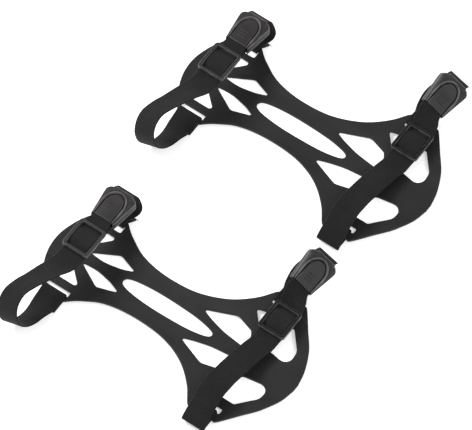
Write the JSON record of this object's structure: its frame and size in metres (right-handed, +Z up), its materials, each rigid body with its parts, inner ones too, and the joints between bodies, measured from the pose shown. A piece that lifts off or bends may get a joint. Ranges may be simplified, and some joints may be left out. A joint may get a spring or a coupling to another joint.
{
  "type": "strap-on forearm guard pair",
  "caption": "Pair of thin vented hourglass guard plates, each held by two elastic straps with three-bar sliders and press-release clip buckles.",
  "frame": {"origin": "centre of the pair's bounding box, on the surface that both guards lie on", "axes": "+X from the narrow end to the wide end of each plate, +Y from the long halves of the straps to the short halves, +Z up from the flat underside"},
  "size_m": [0.2228, 0.3602, 0.0368],
  "materials": {
    "plate_rubber": "matt moulded, fine grain",
    "elastic_webbing": "woven, lengthwise ribs",
    "buckle_plastic": "satin moulded",
    "slider_plastic": "satin moulded"
  },
  "bodies": {
    "left_guard": {"left_plate": "plate_rubber", "left_narrow_long_strap": "elastic_webbing", "left_narrow_short_strap": "elastic_webbing", "left_narrow_buckle_socket": "buckle_plastic", "left_wide_long_strap": "elastic_webbing", "left_wide_short_strap": "elastic_webbing", "left_wide_buckle_socket": "buckle_plastic"},
    "left_narrow_tongue": {"left_narrow_buckle_tongue": "buckle_plastic"},
    "left_narrow_slider": {"left_narrow_slider": "slider_plastic"},
    "left_narrow_release": {"left_narrow_release_panel": "buckle_plastic"},
    "left_wide_tongue": {"left_wide_buckle_tongue": "buckle_plastic"},
    "left_wide_slider": {"left_wide_slider": "slider_plastic"},
    "left_wide_release": {"left_wide_release_panel": "buckle_plastic"},
    "right_guard": {"right_plate": "plate_rubber", "right_narrow_long_strap": "elastic_webbing", "right_narrow_short_strap": "elastic_webbing", "right_narrow_buckle_socket": "buckle_plastic", "right_wide_long_strap": "elastic_webbing", "right_wide_short_strap": "elastic_webbing", "right_wide_buckle_socket": "buckle_plastic"},
    "right_narrow_tongue": {"right_narrow_buckle_tongue": "buckle_plastic"},
    "right_narrow_slider": {"right_narrow_slider": "slider_plastic"},
    "right_narrow_release": {"right_narrow_release_panel": "buckle_plastic"},
    "right_wide_tongue": {"right_wide_buckle_tongue": "buckle_plastic"},
    "right_wide_slider": {"right_wide_slider": "slider_plastic"},
    "right_wide_release": {"right_wide_release_panel": "buckle_plastic"}
  },
  "joints": [
    {"name": "left_narrow_buckle_pull", "type": "slide", "parent": "left_guard", "child": "left_narrow_tongue", "axis": [0, -1, 0], "range_m": [0, 0.014], "deforming": ["left_narrow_long_strap"]},
    {"name": "left_narrow_slider_slide", "type": "slide", "parent": "left_narrow_tongue", "child": "left_narrow_slider", "axis": [0, 1, 0], "range_m": [-0.008, 0.005], "deforming": ["left_narrow_long_strap"]},
    {"name": "left_narrow_release_press", "type": "hinge", "parent": "left_narrow_tongue", "child": "left_narrow_release", "pos_m": [-0.0829, 0.11087, 0.02865], "axis": [-1, 0, 0], "range_deg": [0, 6], "stiffness_Nm_per_rad": 0.3},
    {"name": "left_wide_buckle_pull", "type": "slide", "parent": "left_guard", "child": "left_wide_tongue", "axis": [-0.1125, -0.9744, -0.1948], "range_m": [0, 0.014], "deforming": ["left_wide_long_strap"]},
    {"name": "left_wide_slider_slide", "type": "slide", "parent": "left_wide_tongue", "child": "left_wide_slider", "axis": [0, 1, 0], "range_m": [-0.01, 0.012], "deforming": ["left_wide_long_strap"]},
    {"name": "left_wide_release_press", "type": "hinge", "parent": "left_wide_tongue", "child": "left_wide_release", "pos_m": [0.06404, 0.15599, 0.01648], "axis": [-0.866, 0, 0.5], "range_deg": [0, 6], "stiffness_Nm_per_rad": 0.3},
    {"name": "right_guard_apart", "type": "slide", "parent": "left_guard", "child": "right_guard", "axis": [0, -1, 0], "range_m": [0, 0.1]},
    {"name": "right_narrow_buckle_pull", "type": "slide", "parent": "right_guard", "child": "right_narrow_tongue", "axis": [0, -1, 0], "range_m": [0, 0.014], "deforming": ["right_narrow_long_strap"]},
    {"name": "right_narrow_slider_slide", "type": "slide", "parent": "right_narrow_tongue", "child": "right_narrow_slider", "axis": [0, 1, 0], "range_m": [-0.008, 0.005], "deforming": ["right_narrow_long_strap"]},
    {"name": "right_narrow_release_press", "type": "hinge", "parent": "right_narrow_tongue", "child": "right_narrow_release", "pos_m": [-0.0758, -0.06853, 0.02865], "axis": [-1, 0, 0], "range_deg": [0, 6], "stiffness_Nm_per_rad": 0.3},
    {"name": "right_wide_buckle_pull", "type": "slide", "parent": "right_guard", "child": "right_wide_tongue", "axis": [-0.1125, -0.9744, -0.1948], "range_m": [0, 0.014], "deforming": ["right_wide_long_strap"]},
    {"name": "right_wide_slider_slide", "type": "slide", "parent": "right_wide_tongue", "child": "right_wide_slider", "axis": [0, 1, 0], "range_m": [-0.01, 0.012], "deforming": ["right_wide_long_strap"]},
    {"name": "right_wide_release_press", "type": "hinge", "parent": "right_wide_tongue", "child": "right_wide_release", "pos_m": [0.07114, -0.02341, 0.01648], "axis": [-0.866, 0, 0.5], "range_deg": [0, 6], "stiffness_Nm_per_rad": 0.3}
  ]
}
